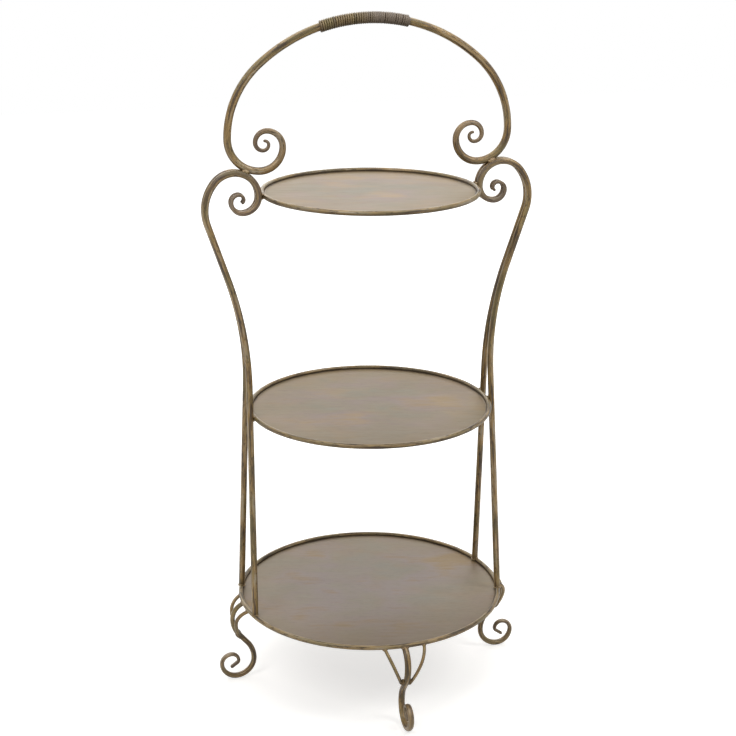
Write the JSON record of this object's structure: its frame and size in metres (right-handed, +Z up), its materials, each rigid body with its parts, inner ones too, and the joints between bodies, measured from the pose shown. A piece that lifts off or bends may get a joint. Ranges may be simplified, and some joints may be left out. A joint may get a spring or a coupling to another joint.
{
  "type": "bakers rack",
  "caption": "Free-standing round tiered rack of welded rod: sheet shelves in ring rims, scrolled uprights, scroll feet and an arched carrying handle with a wire-wound grip.",
  "frame": {"origin": "on the floor, under the middle of the round shelves", "axes": "+Z up, X across the handle from scroll to scroll, -Y the front"},
  "size_m": [0.5044, 0.4916, 1.041],
  "materials": {
    "rod": "rubbed antique gold-brown paint on steel rod, satin",
    "shelf_sheet": "brushed taupe-gold glaze on steel sheet, satin",
    "grip_wire": "antique gold-brown paint on wound wire, satin",
    "weld_bead": "painted weld metal, satin"
  },
  "bodies": {
    "root": {"foot_brace_front_left": "rod", "foot_brace_front_right": "rod", "foot_brace_left_front": "rod", "foot_brace_left_rear": "rod", "foot_brace_rear_left": "rod", "foot_brace_rear_right": "rod", "foot_brace_right_front": "rod", "foot_brace_right_rear": "rod", "foot_front": "rod", "foot_left": "rod", "foot_rear": "rod", "foot_right": "rod", "handle_arch": "rod", "handle_welds": "weld_bead", "handle_wire_wrap": "grip_wire", "lower_shelf_plate": "shelf_sheet", "lower_shelf_rim": "rod", "middle_shelf_plate": "shelf_sheet", "middle_shelf_rim": "rod", "top_shelf_plate": "shelf_sheet", "top_shelf_rim": "rod", "upright_left_front": "rod", "upright_left_rear": "rod", "upright_right_front": "rod", "upright_right_rear": "rod"}
  },
  "joints": []
}
